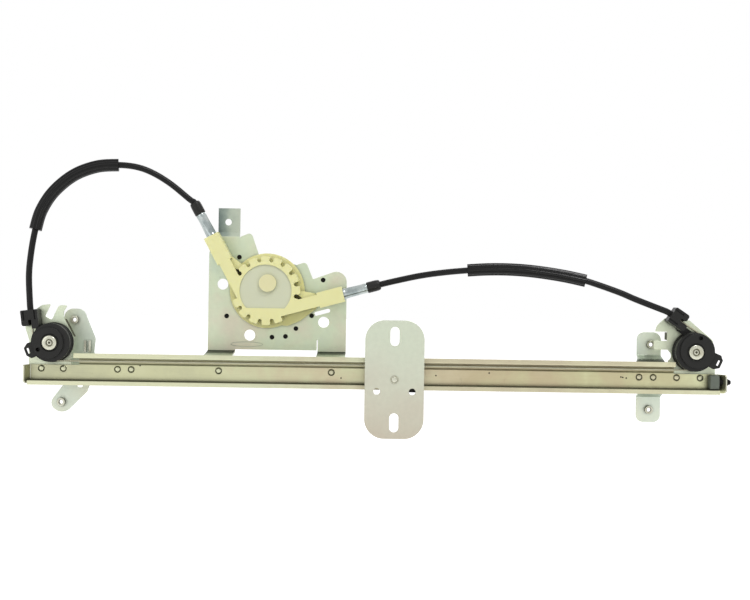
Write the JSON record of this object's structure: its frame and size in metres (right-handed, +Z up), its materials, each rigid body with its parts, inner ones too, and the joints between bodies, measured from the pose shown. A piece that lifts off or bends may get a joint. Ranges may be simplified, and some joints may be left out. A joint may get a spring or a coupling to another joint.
{
  "type": "window regulator",
  "caption": "Cable window regulator for a car door: guide rail with sliding glass carrier, end pulleys, Bowden conduits and a cable drum housing on a motor plate.",
  "frame": {"origin": "drum axis at the back face of the motor plate, in the centre of the motor pilot hole", "axes": "+X along the rail to the right as seen from the front, +Y to the back, towards the motor, +Z up"},
  "size_m": [0.5645, 0.0556, 0.2198],
  "materials": {
    "rail_zinc": "yellow-passivated zinc plate on folded steel",
    "bracket_zinc": "pale passivated zinc plate on pressed steel",
    "plate_zinc": "pale passivated zinc plate on pressed steel",
    "carrier_zinc": "pale passivated zinc plate on pressed steel",
    "rivet_steel": "zinc plate",
    "axle_steel": "bright zinc plate",
    "housing_plastic": "natural unpigmented moulding",
    "drum_plastic": "natural unpigmented moulding",
    "black_plastic": "black moulding",
    "buffer_rubber": "matt moulded rubber",
    "conduit_plastic": "extruded jacket",
    "sleeve_rubber": "ribbed sleeve",
    "cable_steel": "greased stranded wire",
    "spring_steel": "drawn wire",
    "ferrule_metal": "pressed and crimped"
  },
  "bodies": {
    "root": {"guide_rail": "rail_zinc", "rail_upper_lip": "rail_zinc", "rail_lower_lip": "rail_zinc", "rail_end_flanges": "rail_zinc", "rail_rivets": "rivet_steel", "left_pulley_bracket": "bracket_zinc", "right_pulley_bracket": "bracket_zinc", "left_mount_bracket": "bracket_zinc", "right_mount_bracket": "bracket_zinc", "left_pulley_base": "black_plastic", "right_pulley_base": "black_plastic", "left_pulley_cover": "black_plastic", "right_pulley_cover": "black_plastic", "left_pulley_axle": "axle_steel", "right_pulley_axle": "axle_steel", "motor_plate": "plate_zinc", "plate_plugs": "black_plastic", "drum_housing": "housing_plastic", "housing_screws": "rivet_steel", "drum_cable_tails": "cable_steel", "left_tension_spring": "spring_steel", "right_tension_spring": "spring_steel", "left_ferrule": "ferrule_metal", "right_ferrule": "ferrule_metal", "left_ferrule_cap": "black_plastic", "right_ferrule_cap": "black_plastic", "left_conduit": "conduit_plastic", "right_conduit": "conduit_plastic", "left_sleeve": "sleeve_rubber", "right_sleeve": "sleeve_rubber", "rail_cable": "cable_steel", "end_buffer": "buffer_rubber"},
    "carrier": {"carrier_plate": "carrier_zinc", "carrier_shoe": "black_plastic", "carrier_rivet": "rivet_steel", "cable_nipples": "cable_steel"},
    "drum": {"cable_drum": "drum_plastic", "drum_windings": "cable_steel"},
    "left_pulley": {"left_pulley_wheel": "black_plastic"},
    "right_pulley": {"right_pulley_wheel": "black_plastic"}
  },
  "joints": [
    {"name": "carrier_slide", "type": "slide", "parent": "root", "child": "carrier", "axis": [1, 0, 0], "range_m": [-0.231, 0.2275]},
    {"name": "drum_spin", "type": "hinge", "parent": "root", "child": "drum", "pos_m": [0, 0, 0], "axis": [0, 1, 0], "range_deg": [-725, 725]},
    {"name": "left_pulley_spin", "type": "hinge", "parent": "root", "child": "left_pulley", "pos_m": [-0.168, 0, -0.0438], "axis": [0, 1, 0], "range_deg": [-930, 930]},
    {"name": "right_pulley_spin", "type": "hinge", "parent": "root", "child": "right_pulley", "pos_m": [0.3426, 0, -0.0438], "axis": [0, 1, 0], "range_deg": [-930, 930]}
  ],
  "couplings": [
    {"joint": "drum_spin", "follows": "carrier_slide", "rad_per_m": 54.348},
    {"joint": "left_pulley_spin", "follows": "carrier_slide", "rad_per_m": -69.444},
    {"joint": "right_pulley_spin", "follows": "carrier_slide", "rad_per_m": -69.444}
  ]
}
